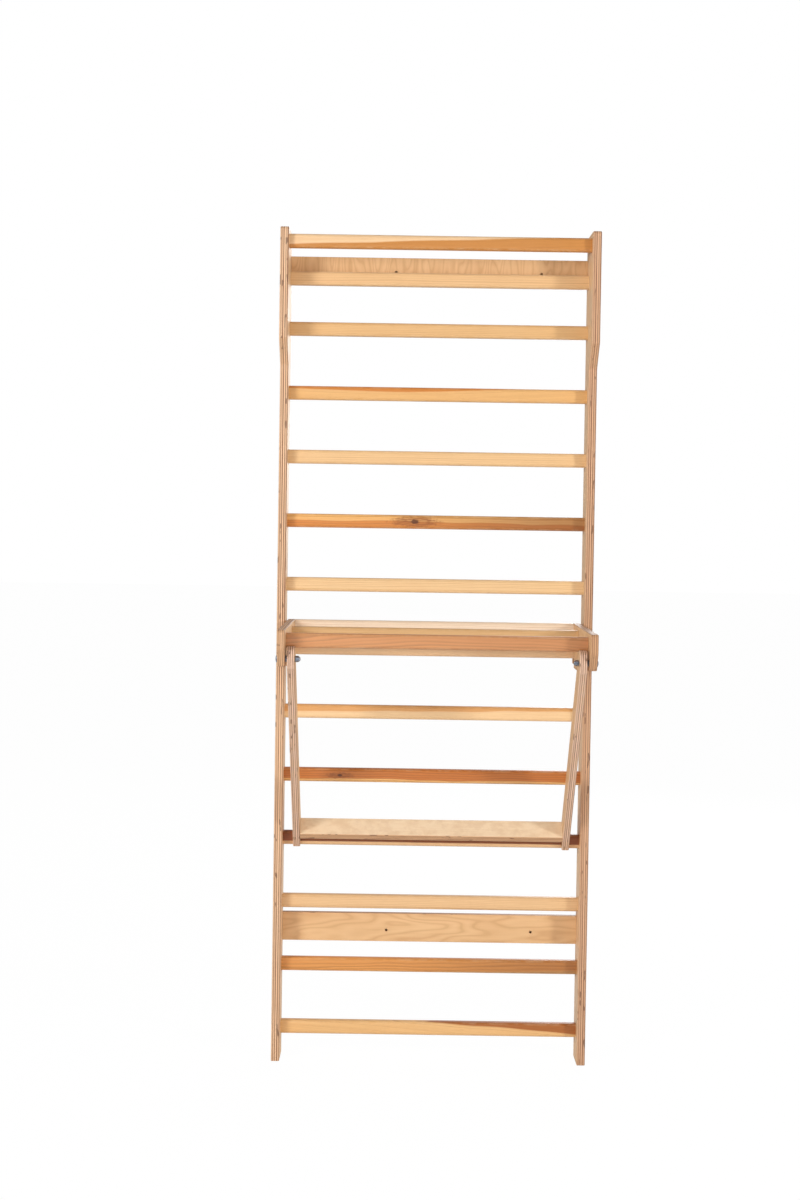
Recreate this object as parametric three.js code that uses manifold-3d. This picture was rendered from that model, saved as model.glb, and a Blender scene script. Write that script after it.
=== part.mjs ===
// A wall ladder for drying clothes, with a hanging frame hooked onto one of its rungs.
// Millimetres, +Z up, +X to the right, +Y towards the wall. Depths are counted from the
// front edge of the posts' lower part, and the root group moves them to the middle.
import * as THREE from "three";
import { mergeVertices } from "three/addons/utils/BufferGeometryUtils.js";
import Module from "manifold-3d";

const wasm = await Module();
wasm.setup();

// Overall sizes
const overallWidth = 800;
const overallHeight = 2110;
const postDepth = 90;
const armReach = 388;

// Clearances
const fitGap = 0.3;
const hookPlay = 0.75;
const armPlay = 4;
const pivotGap = 5;
const swingGap = 1;
const edgeBevel = 1.2;
const arcStep = 0.2;

// Posts
const postThickness = 21;
const stepForward = 60;
const stepDrop = 277;
const stepSlopeHeight = 63;
const pocketDepth = 12;

// Rungs and the frame's bars, which are the same stock
const rungDepth = 28;
const rungHeight = 35;
const rungEdgeRadius = 9;
const rungCount = 14;
const lowestRungHeight = 79;
const thirdRungDrop = 244.6;
const secondRungDrop = 116.5;
const firstRungDrop = 32;
const firstRungInset = 36;
const rungToBoardGap = 10;
const hookRungNumber = 8;
const footRungNumber = 11;

// Boards that lie against the wall
const wallBoardHeight = 72.4;
const wallBoardThickness = 18;
const upperBoardDrop = 93.8;
const lowerBoardHeight = 331.2;
const wallHoleDiameter = 7;
const wallHoleDepth = 15;
const leftHoleShare = -0.2775;
const rightHoleShare = 0.6525;
const lowerHoleDrop = 7;

// Arms of the hanging frame
const armThickness = 18;
const armTopAboveHook = 53.2;
const armArchDrop = 62;
const hookLobeDrop = 59.4;
const hookLobeLength = 74.25;
const hookProngDrop = 51;
const hookProngThickness = 13.25;
const pivotInset = 43;
const barSetback = 12;
const barTopInset = 10;
const rearBarInset = 3;
const middleBarShare = 0.656;

// Struts and their spreader board
const strutThickness = 18;
const strutWidth = 60;
const strutChamferInset = 21;
const footLipDrop = 20.2;
const spreaderThickness = 18;
const spreaderDepth = 55;
const spreaderSetback = 8.6;

// Bolts, washers, nuts and screws
const boltDiameter = 8;
const boltHeadDiameter = 18;
const boltHeadHeight = 4.4;
const washerDiameter = 15;
const washerThickness = 1.6;
const nutAcrossFlats = 13;
const nutHeight = 6.5;
const nutCapHeight = 4.5;
const screwDiameter = 5;
const screwHeadDiameter = 10;
const screwHeadDepth = 3.2;
const screwLength = 50;

// Places that follow from the sizes above
const postInnerX = overallWidth / 2 - postThickness;
const rungY = postDepth - wallBoardThickness - rungToBoardGap - rungDepth / 2;
const thirdRungHeight = overallHeight - thirdRungDrop;
const rungPitch = (thirdRungHeight - lowestRungHeight) / (rungCount - 3);
const hookRungHeight = lowestRungHeight + (rungCount - hookRungNumber) * rungPitch;
const footRungHeight = lowestRungHeight + (rungCount - footRungNumber) * rungPitch;
const armOuterX = postInnerX - armPlay;
const armInnerX = armOuterX - armThickness;
const strutOuterX = armInnerX - pivotGap;
const strutInnerX = strutOuterX - strutThickness;
const hookTop = hookRungHeight + rungHeight / 2 + fitGap;
const hookFrontY = rungY - rungDepth / 2 - hookPlay;
const hookRearY = rungY + rungDepth / 2 + hookPlay;
const armTop = hookTop + armTopAboveHook;
const armRearY = hookRearY + hookProngThickness;
const barHeight = armTop - barTopInset - rungHeight / 2;
const swingRadius = strutWidth / 2 + rungEdgeRadius + swingGap;
const barCornerSetback = barSetback + rungEdgeRadius;
const pivotDrop = Math.sqrt(swingRadius ** 2 - barCornerSetback ** 2) - rungEdgeRadius;
const pivotY = pivotInset - armReach;
const pivotZ = barHeight - rungHeight / 2 - pivotDrop;
const frontBarY = pivotY + barSetback + rungDepth / 2;
const rearBarY = armRearY - rearBarInset - rungDepth / 2;
const middleBarY = frontBarY + (rearBarY - frontBarY) * middleBarShare;

// The strut's axis runs from the pivot to the middle of the rung its foot rests on.
const strutSpan = new THREE.Vector2(rungY - pivotY, footRungHeight - pivotZ);
const strutAxis = strutSpan.clone().normalize();
const strutFront = new THREE.Vector2(strutAxis.y, -strutAxis.x);
const rungCornerY = rungY - rungDepth / 2 + rungEdgeRadius;
const rungCornerZ = footRungHeight + rungHeight / 2 - rungEdgeRadius;
const rungCornerReach = Math.hypot(rungCornerY - pivotY, rungCornerZ - pivotZ);
const seatReach = rungCornerReach - rungEdgeRadius - fitGap - 0.2;
const spreaderReach = seatReach - spreaderSetback - spreaderThickness / 2;

const plywoodEdgeColor = 0xd9b483;
const pineColor = 0xe2b77c;
const steelColor = 0xb9c0c8;

const rack = new THREE.Group();
rack.name = "clothes_drying_rack";
rack.position.y = (armReach - postDepth) / 2;

function addPart(name, geometry, color, roughness, metalness) {
  const material = new THREE.MeshStandardMaterial({ color, roughness, metalness });
  const mesh = new THREE.Mesh(geometry, material);
  mesh.name = name;
  rack.add(mesh);
}

function addPlywood(name, geometry) {
  addPart(name, geometry, plywoodEdgeColor, 0.55, 0);
}

function addPine(name, geometry) {
  addPart(name, geometry, pineColor, 0.4, 0);
}

function addSteel(name, geometry) {
  addPart(name, geometry, steelColor, 0.25, 1);
}

// One corner of an outline in the side view: depth, height and the radius it is rounded to.
function corner(depth, height, radius = 0) {
  return { point: new THREE.Vector2(depth, height), radius };
}

// The outline through the corners, each rounded with a short arc.
function roundedOutline(corners) {
  const points = [];
  corners.forEach((here, index) => {
    const before = corners.at(index - 1).point;
    const after = corners[(index + 1) % corners.length].point;
    if (here.radius === 0) {
      points.push(here.point.clone());
      return;
    }
    const towardsBefore = before.clone().sub(here.point).normalize();
    const towardsAfter = after.clone().sub(here.point).normalize();
    const halfAngle = Math.acos(towardsBefore.dot(towardsAfter)) / 2;
    const middle = towardsBefore.clone().add(towardsAfter).normalize();
    const centre = here.point.clone().addScaledVector(middle, here.radius / Math.sin(halfAngle));
    const reach = here.radius / Math.tan(halfAngle);
    const start = here.point.clone().addScaledVector(towardsBefore, reach).sub(centre);
    const end = here.point.clone().addScaledVector(towardsAfter, reach).sub(centre);
    const turn = Math.atan2(start.cross(end), start.dot(end));
    const steps = Math.max(2, Math.ceil(Math.abs(turn) / arcStep));
    for (let step = 0; step <= steps; step++) {
      const spoke = start.clone().rotateAround(new THREE.Vector2(), (turn * step) / steps);
      points.push(centre.clone().add(spoke));
    }
  });
  return points;
}

// A plate whose side view is the outline, from one X to another.
function plate(outline, fromX, toX, bevel = 0) {
  const geometry = new THREE.ExtrudeGeometry(new THREE.Shape(outline), {
    depth: toX - fromX - 2 * bevel,
    bevelEnabled: bevel > 0,
    bevelThickness: bevel,
    bevelSize: bevel,
    bevelOffset: -bevel,
    bevelSegments: 1,
  });
  const towardsY = new THREE.Vector3(0, 1, 0);
  const towardsZ = new THREE.Vector3(0, 0, 1);
  const towardsX = new THREE.Vector3(1, 0, 0);
  geometry.translate(0, 0, fromX + bevel);
  return geometry.applyMatrix4(new THREE.Matrix4().makeBasis(towardsY, towardsZ, towardsX));
}

// The rungs' section, grown by the given gap all round.
function rungSection(centreY, centreZ, gap = 0) {
  const front = centreY - rungDepth / 2 - gap;
  const rear = centreY + rungDepth / 2 + gap;
  const bottom = centreZ - rungHeight / 2 - gap;
  const top = centreZ + rungHeight / 2 + gap;
  const radius = rungEdgeRadius + gap;
  return roundedOutline([
    corner(rear, bottom, radius),
    corner(rear, top, radius),
    corner(front, top, radius),
    corner(front, bottom, radius),
  ]);
}

function solid(geometry) {
  const bare = new THREE.BufferGeometry();
  const source = geometry.index ? geometry.toNonIndexed() : geometry;
  bare.setAttribute("position", source.getAttribute("position"));
  const merged = mergeVertices(bare, 1e-4);
  const mesh = new wasm.Mesh({
    numProp: 3,
    vertProperties: merged.attributes.position.array,
    triVerts: new Uint32Array(merged.index.array),
  });
  return new wasm.Manifold(mesh);
}

function geometryOf(body) {
  const mesh = body.getMesh();
  const geometry = new THREE.BufferGeometry();
  geometry.setAttribute("position", new THREE.BufferAttribute(mesh.vertProperties, 3));
  geometry.setIndex(new THREE.BufferAttribute(mesh.triVerts, 1));
  const faceted = geometry.toNonIndexed();
  faceted.computeVertexNormals();
  return faceted;
}

function cut(geometry, tools) {
  let body = solid(geometry);
  for (const tool of tools) body = body.subtract(solid(tool));
  return geometryOf(body);
}

// A turned piece: the profile is radius against place along +X.
function turned(profile, segments = 32) {
  const points = profile.map(([radius, along]) => new THREE.Vector2(radius, along));
  const geometry = new THREE.LatheGeometry(points, segments);
  return geometry.applyMatrix4(new THREE.Matrix4().makeRotationZ(-Math.PI / 2));
}

function placed(geometry, x, y, z, side = 1) {
  const moved = geometry.clone();
  if (side < 0) moved.rotateZ(Math.PI);
  return moved.translate(x, y, z);
}

function rod(diameter, length) {
  const radius = diameter / 2;
  return turned([[0, 0], [radius, 0], [radius, length], [0, length]]);
}

// A countersunk screw that points along -X, its flat head just under X = 0.
function screwShape() {
  const radius = screwDiameter / 2;
  return turned([
    [0, -screwLength],
    [radius, -screwLength],
    [radius, -screwHeadDepth],
    [screwHeadDiameter / 2, -fitGap],
    [0, -fitGap],
  ]);
}

// What a screw leaves in the pieces it joins, open at the outer face.
function screwHole() {
  const radius = screwDiameter / 2 + fitGap;
  const headRadius = screwHeadDiameter / 2 + fitGap;
  const tip = -screwLength - fitGap;
  return turned([
    [0, tip],
    [radius, tip],
    [radius, -screwHeadDepth],
    [headRadius, 0],
    [headRadius, 1],
    [0, 1],
  ]);
}

// Where each rung sits, from the top one down.
function rungPlace(number) {
  if (number === 1) return { y: firstRungInset - stepForward, z: overallHeight - firstRungDrop };
  if (number === 2) return { y: rungY, z: overallHeight - secondRungDrop };
  return { y: rungY, z: lowestRungHeight + (rungCount - number) * rungPitch };
}

const rungPlaces = Array.from({ length: rungCount }, (_, index) => rungPlace(index + 1));

// Posts: tall plywood sides whose top end steps forward.
const stepBottom = overallHeight - stepDrop;
const postOutline = roundedOutline([
  corner(postDepth, 0, 2),
  corner(postDepth, overallHeight, 5),
  corner(-stepForward, overallHeight, 8),
  corner(-stepForward, stepBottom, 14),
  corner(0, stepBottom - stepSlopeHeight, 14),
  corner(0, 0, 2),
]);
const pocketEndX = postInnerX + pocketDepth;

for (const [name, side] of [["left", -1], ["right", 1]]) {
  const nearX = Math.min(side * postInnerX, (side * overallWidth) / 2);
  const body = plate(postOutline, nearX, nearX + postThickness, edgeBevel);
  const pockets = rungPlaces.map(({ y, z }) => {
    const fromX = side > 0 ? postInnerX - 1 : -pocketEndX;
    return plate(rungSection(y, z, fitGap), fromX, fromX + pocketDepth + 1);
  });
  addPlywood(`${name}_post`, cut(body, pockets));
}

// Rungs: rounded bars whose ends sit in the posts' pockets.
const rungEndX = pocketEndX - fitGap;
rungPlaces.forEach(({ y, z }, index) => {
  const number = String(index + 1).padStart(2, "0");
  addPine(`rung_${number}`, plate(rungSection(y, z), -rungEndX, rungEndX));
});

// Wall boards: flush with the posts' rear edges, each with two blind pilot holes in front.
function wallBoard(centreZ, holeZ) {
  const endX = postInnerX - fitGap;
  const frontY = postDepth - wallBoardThickness;
  const outline = roundedOutline([
    corner(postDepth, centreZ - wallBoardHeight / 2, 1.5),
    corner(postDepth, centreZ + wallBoardHeight / 2, 1.5),
    corner(frontY, centreZ + wallBoardHeight / 2, 1.5),
    corner(frontY, centreZ - wallBoardHeight / 2, 1.5),
  ]);
  const holes = [leftHoleShare, rightHoleShare].map((share) => {
    const radius = wallHoleDiameter / 2;
    const hole = new THREE.CylinderGeometry(radius, radius, 2 * wallHoleDepth, 32);
    return hole.translate((share * overallWidth) / 2, frontY, holeZ);
  });
  return cut(plate(outline, -endX, endX), holes);
}

const upperBoardHeight = overallHeight - upperBoardDrop;
addPlywood("upper_wall_board", wallBoard(upperBoardHeight, upperBoardHeight));
addPlywood("lower_wall_board", wallBoard(lowerBoardHeight, lowerBoardHeight - lowerHoleDrop));

// Arms: flat top, a lobe at the front for the pivot, a hook over a rung at the back.
const lobeFrontY = hookFrontY - hookLobeLength;
const armOutline = roundedOutline([
  corner(armRearY, armTop, 8),
  corner(-armReach, armTop, 8),
  corner(-armReach, pivotZ + 24, 14),
  corner(pivotY - 15, pivotZ - 17, 10),
  corner(pivotY + 20, pivotZ - 20, 12),
  corner(pivotY + 55, armTop - armArchDrop, 30),
  corner(lobeFrontY - 34, armTop - armArchDrop, 26),
  corner(lobeFrontY, hookTop - hookLobeDrop, 16),
  corner(hookFrontY, hookTop - hookLobeDrop, 5),
  corner(hookFrontY, hookTop, rungEdgeRadius - 1),
  corner(hookRearY, hookTop, rungEdgeRadius - 1),
  corner(hookRearY, hookTop - hookProngDrop, 4),
  corner(armRearY, hookTop - hookProngDrop, 5),
]);
const rearBarHeight = armTop - rungHeight / 2;
const barPlaces = {
  front: { y: frontBarY, z: barHeight },
  middle: { y: middleBarY, z: barHeight },
  rear: { y: rearBarY, z: rearBarHeight },
};
const boltHole = rod(boltDiameter + 2 * fitGap, overallWidth).translate(-overallWidth / 2, 0, 0);
const pivotHole = placed(boltHole, 0, pivotY, pivotZ);

for (const [name, side] of [["left", -1], ["right", 1]]) {
  const nearX = Math.min(side * armInnerX, side * armOuterX);
  const body = plate(armOutline, nearX, nearX + armThickness, edgeBevel);
  const holes = Object.values(barPlaces).map(({ y, z }) => {
    return placed(screwHole(), side * armOuterX, y, z, side);
  });
  addPlywood(`${name}_arm`, cut(body, [pivotHole, ...holes]));
}

// Bars between the arms, each held by one screw an end.
const barEndX = armInnerX - fitGap;
for (const [name, { y, z }] of Object.entries(barPlaces)) {
  const body = plate(rungSection(y, z), -barEndX, barEndX);
  const holes = [-1, 1].map((side) => placed(screwHole(), side * armOuterX, y, z, side));
  addPine(`${name}_bar`, cut(body, holes));
  for (const [sideName, side] of [["left", -1], ["right", 1]]) {
    addSteel(`${sideName}_${name}_bar_screw`, placed(screwShape(), side * armOuterX, y, z, side));
  }
}

// A point on the strut's side view, from the distance down its axis and the offset forwards.
function strutCorner(along, forward, radius = 0) {
  const y = pivotY + strutAxis.x * along + strutFront.x * forward;
  const z = pivotZ + strutAxis.y * along + strutFront.y * forward;
  return corner(y, z, radius);
}

// Struts: round about the pivot with a flat in front, notched over the rung at the foot.
const strutHalf = strutWidth / 2;
const chamferY = pivotY - strutChamferInset;
const frontFaceSlope = strutAxis.y / strutAxis.x;
const frontFaceStart = strutCorner(0, strutHalf).point;
const chamferFootZ = frontFaceStart.y + (chamferY - frontFaceStart.x) * frontFaceSlope;
const lipRearY = rungY - rungDepth / 2 - fitGap - 0.1;
const lipBottom = footRungHeight - footLipDrop;
const lipFrontY = frontFaceStart.x + (lipBottom - frontFaceStart.y) / frontFaceSlope;
const seatAtLip = strutCorner(seatReach, 0).point;
const notchZ = seatAtLip.y + ((lipRearY - seatAtLip.x) * strutFront.y) / strutFront.x;

// The round end, as points on its circle from the rear face over the top to the flat.
function strutEnd() {
  const points = [];
  const rearAngle = Math.atan2(-strutFront.y, -strutFront.x);
  const flatAngle = Math.PI - Math.acos(strutChamferInset / strutHalf);
  const steps = 10;
  for (let step = 0; step <= steps; step++) {
    const angle = rearAngle + ((flatAngle - rearAngle) * step) / steps;
    const y = pivotY + Math.cos(angle) * strutHalf;
    const z = pivotZ + Math.sin(angle) * strutHalf;
    points.push(corner(y, z));
  }
  return points;
}

const strutOutline = roundedOutline([
  ...strutEnd(),
  corner(chamferY, chamferFootZ, 6),
  corner(lipFrontY, lipBottom, 2),
  corner(lipRearY, lipBottom, 2),
  corner(lipRearY, notchZ, 2),
  strutCorner(seatReach, -strutHalf, 9),
]);
const spreaderScrewOffsets = [-spreaderDepth / 4, spreaderDepth / 4];
const spreaderForward = strutHalf - spreaderDepth / 2;

function spreaderScrewPlaces(side) {
  return spreaderScrewOffsets.map((offset) => {
    const { point } = strutCorner(spreaderReach, spreaderForward + offset);
    return { x: side * strutOuterX, y: point.x, z: point.y };
  });
}

for (const [name, side] of [["left", -1], ["right", 1]]) {
  const nearX = Math.min(side * strutInnerX, side * strutOuterX);
  const body = plate(strutOutline, nearX, nearX + strutThickness, edgeBevel);
  const holes = spreaderScrewPlaces(side).map(({ x, y, z }) => placed(screwHole(), x, y, z, side));
  addPlywood(`${name}_strut`, cut(body, [pivotHole, ...holes]));
}

// Spreader board between the struts' lower ends, square to them.
const spreaderEndX = strutInnerX - fitGap;
const spreaderOutline = roundedOutline([
  strutCorner(spreaderReach - spreaderThickness / 2, strutHalf, 1.5),
  strutCorner(spreaderReach + spreaderThickness / 2, strutHalf, 1.5),
  strutCorner(spreaderReach + spreaderThickness / 2, strutHalf - spreaderDepth, 1.5),
  strutCorner(spreaderReach - spreaderThickness / 2, strutHalf - spreaderDepth, 1.5),
]);
const allSpreaderScrews = [-1, 1].flatMap((side) => {
  return spreaderScrewPlaces(side).map(({ x, y, z }) => placed(screwHole(), x, y, z, side));
});
const spreaderBody = plate(spreaderOutline, -spreaderEndX, spreaderEndX);
addPlywood("spreader_board", cut(spreaderBody, allSpreaderScrews));

for (const [name, side] of [["left", -1], ["right", 1]]) {
  spreaderScrewPlaces(side).forEach(({ x, y, z }, index) => {
    const end = index === 0 ? "rear" : "front";
    addSteel(`${name}_${end}_spreader_screw`, placed(screwShape(), x, y, z, side));
  });
}

// Pivot bolts: a domed head outside the arm, spacer, strut, washer and a cap nut inside.
const boltRadius = boltDiameter / 2;
const headFootX = armOuterX + fitGap;
const washerFootX = strutInnerX - fitGap - washerThickness;
const nutFootX = washerFootX - fitGap;
const boltTipX = nutFootX - nutHeight;

function boltShape() {
  const headRadius = boltHeadDiameter / 2;
  const profile = [[0, boltTipX], [boltRadius, boltTipX], [boltRadius, headFootX]];
  const steps = 8;
  for (let step = 0; step <= steps; step++) {
    const angle = (Math.PI / 2) * (step / steps);
    const rise = 1 + (boltHeadHeight - 1) * Math.sin(angle);
    if (step === 0) profile.push([headRadius, headFootX]);
    const radius = step === steps ? 0 : headRadius * Math.cos(angle);
    profile.push([radius, headFootX + rise]);
  }
  return turned(profile);
}

function ring(outerDiameter, thickness) {
  const inner = boltRadius + fitGap;
  const outer = outerDiameter / 2;
  return turned([[inner, 0], [outer, 0], [outer, thickness], [inner, thickness], [inner, 0]]);
}

// A hexagon with a domed cap, its blind hole towards the washer.
function capNut() {
  const hexagon = new THREE.CylinderGeometry(
    nutAcrossFlats / Math.sqrt(3), nutAcrossFlats / Math.sqrt(3), nutHeight, 6);
  hexagon.rotateZ(Math.PI / 2).translate(-nutHeight / 2, 0, 0);
  const capRadius = nutAcrossFlats / 2 - 0.4;
  const profile = [[0, -nutHeight - nutCapHeight]];
  const steps = 6;
  for (let step = 1; step <= steps; step++) {
    const angle = (Math.PI / 2) * (step / steps);
    profile.push([
      capRadius * Math.sin(angle),
      -nutHeight - nutCapHeight * Math.cos(angle),
    ]);
  }
  profile.push([capRadius, -1], [0, -1]);
  const bore = rod(boltDiameter + 2 * fitGap, nutHeight + fitGap + 1);
  const body = solid(hexagon).add(solid(turned(profile)));
  return geometryOf(body.subtract(solid(bore.translate(-nutHeight - fitGap, 0, 0))));
}

for (const [name, side] of [["left", -1], ["right", 1]]) {
  addSteel(`${name}_pivot_bolt`, placed(boltShape(), 0, pivotY, pivotZ, side));
  const spacer = ring(washerDiameter, pivotGap - 2 * fitGap);
  const spacerX = side * (strutOuterX + fitGap);
  addSteel(`${name}_pivot_spacer`, placed(spacer, spacerX, pivotY, pivotZ, side));
  const washer = ring(washerDiameter, washerThickness);
  addSteel(`${name}_pivot_washer`, placed(washer, side * washerFootX, pivotY, pivotZ, side));
  addSteel(`${name}_pivot_nut`, placed(capNut(), side * nutFootX, pivotY, pivotZ, side));
}

export default rack;
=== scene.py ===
"""A ladder-type clothes drying rack with a lift-off hanging frame, dressed in its finishes.

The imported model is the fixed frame. This script gives every wooden and steel piece its
finish, adds the screws' heads, and sets up the camera, the light and the floor.
"""
import logging
import math
from dataclasses import dataclass, field
from enum import Enum
from functools import cached_property

import bpy
from mathutils import Matrix, Vector


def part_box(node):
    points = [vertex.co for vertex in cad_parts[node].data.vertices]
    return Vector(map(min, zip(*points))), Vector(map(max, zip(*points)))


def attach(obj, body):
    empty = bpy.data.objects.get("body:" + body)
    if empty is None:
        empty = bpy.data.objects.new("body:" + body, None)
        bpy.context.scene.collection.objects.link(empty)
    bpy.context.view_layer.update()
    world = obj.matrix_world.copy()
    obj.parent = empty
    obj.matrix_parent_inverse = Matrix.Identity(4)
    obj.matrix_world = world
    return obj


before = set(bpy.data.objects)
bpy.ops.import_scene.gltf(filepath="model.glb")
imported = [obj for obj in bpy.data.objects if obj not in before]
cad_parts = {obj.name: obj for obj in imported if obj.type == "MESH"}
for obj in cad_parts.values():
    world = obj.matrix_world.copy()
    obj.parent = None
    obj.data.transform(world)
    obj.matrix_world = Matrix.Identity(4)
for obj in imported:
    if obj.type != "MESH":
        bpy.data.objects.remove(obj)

log = logging.getLogger("drying_rack")

Colour = tuple[float, float, float]
Point = tuple[float, float, float]
Socket = bpy.types.NodeSocket
Node = bpy.types.Node
Tree = bpy.types.NodeTree
Material = bpy.types.Material
SocketValue = Socket | float | tuple[float, ...]

WHITE = (1.0, 1.0, 1.0, 1.0)
FIBRE_TINT = (0.55, 0.3, 0.13, 1.0)
PORE_TONE = (0.3, 0.14, 0.05, 1.0)
FLOOR_TONES = ((0.86, 0.86, 0.86, 1.0), (0.9, 0.9, 0.9, 1.0))


class Body(Enum):
    """The rigid bodies that pieces ride on."""

    LADDER = "ladder"
    HANGING_FRAME = "hanging_frame"
    STRUT_FRAME = "strut_frame"


class Grain(Enum):
    """The axis that a piece's face grain runs along."""

    X = 0
    Y = 1
    Z = 2


def linear(colour: Colour) -> tuple[float, float, float, float]:
    """Turns an sRGB colour of 0 to 255 into linear values, by the standard's own curve.

    Args:
        colour: Red, green and blue, 0 to 255.

    Returns:
        Linear red, green, blue and an alpha of 1.
    """
    def channel(value: float) -> float:
        """Decodes one channel.

        Args:
            value: The channel, 0 to 255.

        Returns:
            Its linear value.
        """
        share = value / 255
        if share <= 0.04045:
            return share / 12.92
        return ((share + 0.055) / 1.055) ** 2.4

    red, green, blue = (channel(value) for value in colour)
    return (red, green, blue, 1.0)


class NodeWeb:
    """Adds nodes to one tree and joins them."""

    def __init__(self, tree: Tree) -> None:
        """Keeps the tree that the nodes go into."""
        self.tree = tree

    def add(self, kind: str, inputs: dict[str, SocketValue] | None = None,
            **settings: object) -> Node:
        """Adds a node, sets its properties and feeds its inputs.

        Args:
            kind: The node's type name.
            inputs: Values by the sockets' names.
            **settings: Properties of the node.

        Returns:
            The new node.
        """
        node = self.tree.nodes.new(kind)
        for name, value in settings.items():
            setattr(node, name, value)
        for name, value in (inputs or {}).items():
            self.feed(node.inputs[name], value)
        return node

    def feed(self, socket: Socket, value: SocketValue) -> None:
        """Links a socket to another, or sets its plain value.

        Args:
            socket: The input socket.
            value: An output socket, or a plain value.
        """
        if isinstance(value, Socket):
            self.tree.links.new(value, socket)
        else:
            socket.default_value = value

    def math(self, operation: str, first: SocketValue, second: SocketValue = 0.0,
             third: SocketValue = 0.0) -> Socket:
        """One Math node.

        Args:
            operation: The node's operation.
            first: The first input.
            second: The second input, where the operation has one.
            third: The third input, where the operation has one.

        Returns:
            The node's output.
        """
        node = self.add("ShaderNodeMath", operation=operation)
        for socket, value in zip(node.inputs, (first, second, third)):
            self.feed(socket, value)
        return node.outputs[0]

    def vector_math(self, operation: str, first: SocketValue,
                    second: SocketValue = (0.0, 0.0, 0.0),
                    output: str = "Vector") -> Socket:
        """One Vector Math node.

        Args:
            operation: The node's operation.
            first: The first vector.
            second: The second vector, where the operation has one.
            output: The output's name, which is Value for a length or a dot product.

        Returns:
            The node's output.
        """
        node = self.add("ShaderNodeVectorMath", operation=operation)
        self.feed(node.inputs[0], first)
        self.feed(node.inputs[1], second)
        return node.outputs[output]

    def split(self, vector: SocketValue) -> tuple[Socket, ...]:
        """The X, Y and Z of a vector.

        Args:
            vector: The vector.

        Returns:
            Its three numbers.
        """
        node = self.add("ShaderNodeSeparateXYZ")
        self.feed(node.inputs[0], vector)
        return tuple(node.outputs)

    def join(self, x: SocketValue, y: SocketValue, z: SocketValue) -> Socket:
        """A vector from its X, Y and Z.

        Args:
            x: The first number.
            y: The second number.
            z: The third number.

        Returns:
            The vector.
        """
        node = self.add("ShaderNodeCombineXYZ")
        for socket, value in zip(node.inputs, (x, y, z)):
            self.feed(socket, value)
        return node.outputs[0]

    def fade(self, value: SocketValue, start: SocketValue, end: SocketValue,
             low: SocketValue = 0.0, high: SocketValue = 1.0) -> Socket:
        """A smooth step from low to high as value goes from start to end.

        Args:
            value: What drives the step.
            start: Where the step begins.
            end: Where the step ends.
            low: The result before the step.
            high: The result after the step.

        Returns:
            The stepped value.
        """
        node = self.add("ShaderNodeMapRange",
                        {"Value": value, "From Min": start, "From Max": end, "To Min": low,
                         "To Max": high}, interpolation_type="SMOOTHSTEP")
        return node.outputs["Result"]

    def noise(self, vector: SocketValue, scale: SocketValue, detail: float = 2.0,
              roughness: float = 0.5) -> Socket:
        """Noise of 0 to 1.

        Args:
            vector: The point it is read at.
            scale: Its fineness.
            detail: Its octaves.
            roughness: How strong the finer octaves are.

        Returns:
            The noise value.
        """
        node = self.add("ShaderNodeTexNoise", {"Vector": vector, "Scale": scale,
                                               "Detail": detail, "Roughness": roughness})
        return node.outputs["Fac"]

    def chance(self, value: SocketValue) -> Socket:
        """A random number of 0 to 1 for each whole number.

        Args:
            value: The whole number.

        Returns:
            Its random number.
        """
        node = self.add("ShaderNodeTexWhiteNoise", {"W": value}, noise_dimensions="1D")
        return node.outputs["Value"]

    def blend(self, factor: SocketValue, first: SocketValue, second: SocketValue,
              blend_type: str = "MIX") -> Socket:
        """Two colours mixed.

        Args:
            factor: The second colour's share.
            first: The first colour.
            second: The second colour.
            blend_type: How the two are mixed.

        Returns:
            The mixed colour.
        """
        node = self.add("ShaderNodeMix", {"Factor": factor, "A": first, "B": second},
                        data_type="RGBA", blend_type=blend_type)
        return node.outputs["Result"]

    def place(self, group: Tree, **inputs: SocketValue) -> Node:
        """A node group placed in the tree, its inputs fed by name.

        Args:
            group: The group.
            **inputs: Values, with underscores where the sockets' names have spaces.

        Returns:
            The group's node.
        """
        node = self.add("ShaderNodeGroup", node_tree=group)
        for name, value in inputs.items():
            self.feed(node.inputs[name.replace("_", " ").title()], value)
        return node

    def bump(self, shader: Node, height: SocketValue, rise: float) -> None:
        """Raises a shader's surface by a height map.

        Args:
            shader: The Principled shader.
            height: The height map.
            rise: How far a height of 1 rises, in metres.
        """
        node = self.add("ShaderNodeBump", {"Distance": rise, "Height": height})
        self.feed(shader.inputs["Normal"], node.outputs["Normal"])

    def show(self, lit: Node, seen: Node, share: float, leave: Node) -> None:
        """Shows the camera one shader, while the other one does the lighting.

        Args:
            lit: The shader for every other ray.
            seen: The shader that the camera sees.
            share: The seen shader's share in what the camera sees.
            leave: The tree's output node.
        """
        path = self.add("ShaderNodeLightPath")
        part = self.math("MULTIPLY", path.outputs["Is Camera Ray"], share)
        mixed = self.add("ShaderNodeMixShader", {"Fac": part})
        for socket, node in ((mixed.inputs[1], lit), (mixed.inputs[2], seen),
                             (leave.inputs[0], mixed)):
            self.feed(socket, node.outputs[0])


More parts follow.
